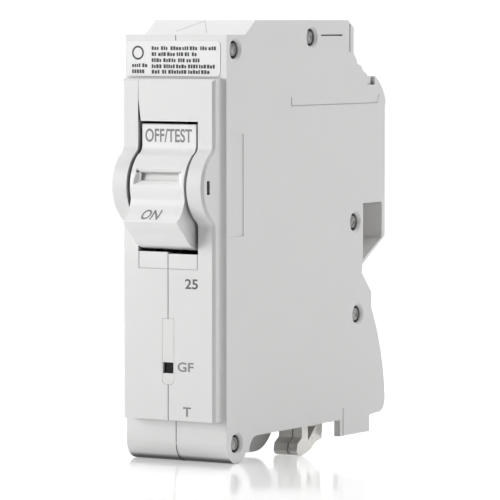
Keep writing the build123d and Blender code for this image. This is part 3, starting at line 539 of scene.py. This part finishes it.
# name, words, X from and to, height from and to, face, body, slant, ink
LEGENDS = [
    ("legend_off", "OFF/TEST", (-6.0, 5.75), (68.95, 71.85), flat_face(ROCKER_FLAT), "rocker", 0.0, GREY_INK),
    ("legend_on", "ON", (-2.9, 1.8), (52.75, 54.75), lip_face, "rocker", 0.18, GREY_INK),
    ("legend_rating", "25", (4.3, 7.5), (37.75, 39.9), flat_face(NOSE_FACE), "case", 0.0, NOSE_INK),
    ("legend_fault", "GF", (2.4, 6.4), (19.95, 22.0), flat_face(NOSE_FACE), "case", 0.0, GREY_INK),
    ("legend_test", "T", (3.75, 5.75), (10.4, 12.4), flat_face(NOSE_FACE), "case", 0.0, GREY_INK),
]
for name, words, across, heights, face, body, slant, tone in LEGENDS:
    bm = letters(name, words, slant)
    stretch_to(bm, *across, *heights)
    lay(bm, face)
    finish_piece(name, bm, tone, body, smooth=False)

# ---------------------------------------------------------------- fine dark lines
# a thin dark tube as the painted shadow of the seam round the foot roll, bent a little tighter than the roll,
# so its middle stands just off it
SHADOW_BEND = 4.07
bm = bmesh.new()
path = []
for step in range(12):
    a = math.radians(8 * step)
    path.append(place(0, SHADOW_BEND - SHADOW_BEND * math.cos(a), SHADOW_BEND - SHADOW_BEND * math.sin(a)))
tube(bm, path, 0.06 * MM, 6)
finish_piece("roll_seam_shadow", bm, DARK_PRINT_AND_SHADOW, "case")

# mould lines that meet at the top of the sloped face
SLOPE_TOP = (0.1, 11.8, 94.86)
bm = bmesh.new()
for line_end in ((-5.3, 8.6, 92.55), (2.8, 8.1, 92.2)):
    tube(bm, [place(*SLOPE_TOP), place(*line_end)], 0.035 * MM, 6)
finish_piece("slope_mould_lines", bm, GREY_INK, "case")


# ---------------------------------------------------------------- label print
# plain bars in rows in place of words, and a plain ring in place of a mark
BAR_GAP, WORD_GAP, BAR_DROP = 0.16, 0.45, 0.40
MARK_MIDDLE, MARK_INNER, MARK_OUTER, MARK_STEPS = (-9.5, 88.0), 1.12, 1.5, 28


def bar_outline(bm, left, right, low, high):
    corners = ((left, low), (right, low), (right, high), (left, high))
    bm.faces.new([bm.verts.new((x, y, 0)) for x, y in corners])


random.seed(11)
# height of a row's middle, and X where it starts and ends
ROWS = [(89.0, -6.0, 10.1), (87.72, -6.0, 5.6), (86.42, -6.0, 6.0), (85.12, -6.0, 10.1), (83.95, -6.0, 8.4),
        (85.3, -11.0, -7.3), (84.0, -11.0, -8.0)]
bm = bmesh.new()
for centre, left, right in ROWS:
    x = left
    while x < right - 0.5:
        word = min(random.uniform(1.1, 2.9), right - x)
        glyph = x
        while glyph < x + word - 0.2:
            width = random.uniform(0.36, 0.62)
            tall = random.choice((0.40, 0.40, 0.33))
            bar_outline(bm, glyph, glyph + width, centre - BAR_DROP, centre - BAR_DROP + 2 * tall)
            glyph += width + BAR_GAP
        x += word + WORD_GAP
for i in range(MARK_STEPS):
    a, b = 2 * math.pi * i / MARK_STEPS, 2 * math.pi * (i + 1) / MARK_STEPS
    corners = ((MARK_OUTER, a), (MARK_OUTER, b), (MARK_INNER, b), (MARK_INNER, a))
    bm.faces.new([bm.verts.new((MARK_MIDDLE[0] + r * math.cos(t), MARK_MIDDLE[1] + r * math.sin(t), 0))
                  for r, t in corners])
bmesh.ops.remove_doubles(bm, verts=bm.verts[:], dist=0.0001)
lay(bm, flat_face(STICKER_FACE))
finish_piece("label_print", bm, DARK_PRINT_AND_SHADOW, "case", smooth=False)

# ---------------------------------------------------------------- floor
# the breaker stands on its foot roll and its clip, so the floor slopes down to the rear in the part's frame
TILT = math.atan2(CLIP_DROP, CLIP_BEHIND)
FLOOR_STRETCH, FLOOR_SHIFT, FLOOR_GAP = (1.4, 1.35), 0.10, 0.02
floor_mesh = bpy.data.meshes.new("floor")
bm = bmesh.new()
bmesh.ops.create_grid(bm, x_segments=24, y_segments=24, size=0.5)
for v in bm.verts:
    v.co.x *= FLOOR_STRETCH[0]
    v.co.y = v.co.y * FLOOR_STRETCH[1] + FLOOR_SHIFT
bm.to_mesh(floor_mesh)
bm.free()
floor = bpy.data.objects.new("floor", floor_mesh)
scene.collection.objects.link(floor)
contact = place(0, ROLL_CONTACT, 0.0)
slope = Matrix.Rotation(-TILT, 4, "X")
turn = Matrix.Rotation(SWING, 4, "Z")
floor.matrix_world = Matrix.Translation(contact - Vector((0, 0, FLOOR_GAP * MM))) @ slope @ turn
pale = Shader("pale_floor")
paint = pale.ramp(pale.noise(3.0), [(0.3, (0.93, 0.93, 0.93)), (0.7, (0.95, 0.95, 0.95))])
pale.link(paint, pale.bsdf.inputs["Base Color"])
pale.link(pale.spread(pale.noise(12.0), 0.06, 0.09), pale.bsdf.inputs["Roughness"])
pale.bsdf.inputs["Emission Color"].default_value = (1, 1, 1, 1)
# it glows a little to the camera and in reflections, and throws less light back on the object
bounce = pale.tree.nodes.new("ShaderNodeLightPath").outputs["Is Diffuse Ray"]
pale.link(pale.spread(bounce, 0.30, 0.0), pale.bsdf.inputs["Emission Strength"])
dim = pale.tree.nodes.new("ShaderNodeBsdfDiffuse")
dim.inputs["Color"].default_value = (0.76, 0.76, 0.76, 1)
either = pale.tree.nodes.new("ShaderNodeMixShader")
pale.link(bounce, either.inputs["Fac"])
pale.link(pale.bsdf.outputs["BSDF"], either.inputs[1])
pale.link(dim.outputs["BSDF"], either.inputs[2])
pale.link(either.outputs["Shader"], pale.tree.nodes["Material Output"].inputs["Surface"])
floor_mesh.materials.append(pale.material)

# ---------------------------------------------------------------- world and lamps
AMBIENT, BACKDROP = 0.07, 1.05
PAPER_EDGE, PAPER_FULL = 0.55, 0.80
world = bpy.data.worlds.new("studio")
scene.world = world
world.use_nodes = True
tree = world.node_tree
ambient = tree.nodes["Background"]
ambient.inputs["Color"].default_value = (1, 1, 1, 1)
white = tree.nodes.new("ShaderNodeBackground")
white.inputs["Color"].default_value = (1, 1, 1, 1)
white.inputs["Strength"].default_value = BACKDROP
# white paper behind the object, seen from the camera, brightens what glossy surfaces reflect from there
toward = tree.nodes.new("ShaderNodeVectorMath")
toward.operation = "DOT_PRODUCT"
toward.inputs[1].default_value = (look.x, look.y, 0.0)
direction = tree.nodes.new("ShaderNodeTexCoord")
tree.links.new(direction.outputs["Generated"], toward.inputs[0])
paper = tree.nodes.new("ShaderNodeMapRange")
paper.interpolation_type = "SMOOTHSTEP"
paper.inputs["From Min"].default_value = PAPER_EDGE
paper.inputs["From Max"].default_value = PAPER_FULL
paper.inputs["To Min"].default_value = AMBIENT
paper.inputs["To Max"].default_value = 1.0
tree.links.new(toward.outputs["Value"], paper.inputs["Value"])
path = tree.nodes.new("ShaderNodeLightPath")
seen = tree.nodes.new("ShaderNodeMapRange")
seen.inputs["To Min"].default_value = AMBIENT
tree.links.new(path.outputs["Is Glossy Ray"], seen.inputs["Value"])
tree.links.new(paper.outputs["Result"], seen.inputs["To Max"])
tree.links.new(seen.outputs["Result"], ambient.inputs["Strength"])
mix = tree.nodes.new("ShaderNodeMixShader")
tree.links.new(path.outputs["Is Camera Ray"], mix.inputs["Fac"])
tree.links.new(ambient.outputs["Background"], mix.inputs[1])
tree.links.new(white.outputs["Background"], mix.inputs[2])
tree.links.new(mix.outputs["Shader"], tree.nodes["World Output"].inputs["Surface"])


def softbox(name, position, target, size, watts):
    data = bpy.data.lights.new(name, "AREA")
    data.shape = "RECTANGLE"
    data.size, data.size_y = size
    data.energy = watts
    lamp = bpy.data.objects.new(name, data)
    scene.collection.objects.link(lamp)
    lamp.location = position
    lamp.rotation_euler = (Vector(target) - Vector(position)).to_track_quat("-Z", "Y").to_euler()


MIDDLE = Vector((0, 0, 0.05))


def around(azimuth, elevation, distance):
    """A point round the object: azimuth 0 is in front of it and 90 to its right."""
    a, e = math.radians(azimuth), math.radians(elevation)
    return MIDDLE + distance * Vector((math.sin(a) * math.cos(e), -math.cos(a) * math.cos(e), math.sin(e)))


softbox("key", around(-46, 9, 1.0), MIDDLE, size=(0.8, 0.8), watts=9.9)
softbox("top", (-0.10, 0.22, 1.0), (-0.05, 0.12, 0.0), size=(1.3, 1.3), watts=9.2)
softbox("right_rear", around(125, 15, 1.0), MIDDLE, size=(0.8, 0.8), watts=4.35)
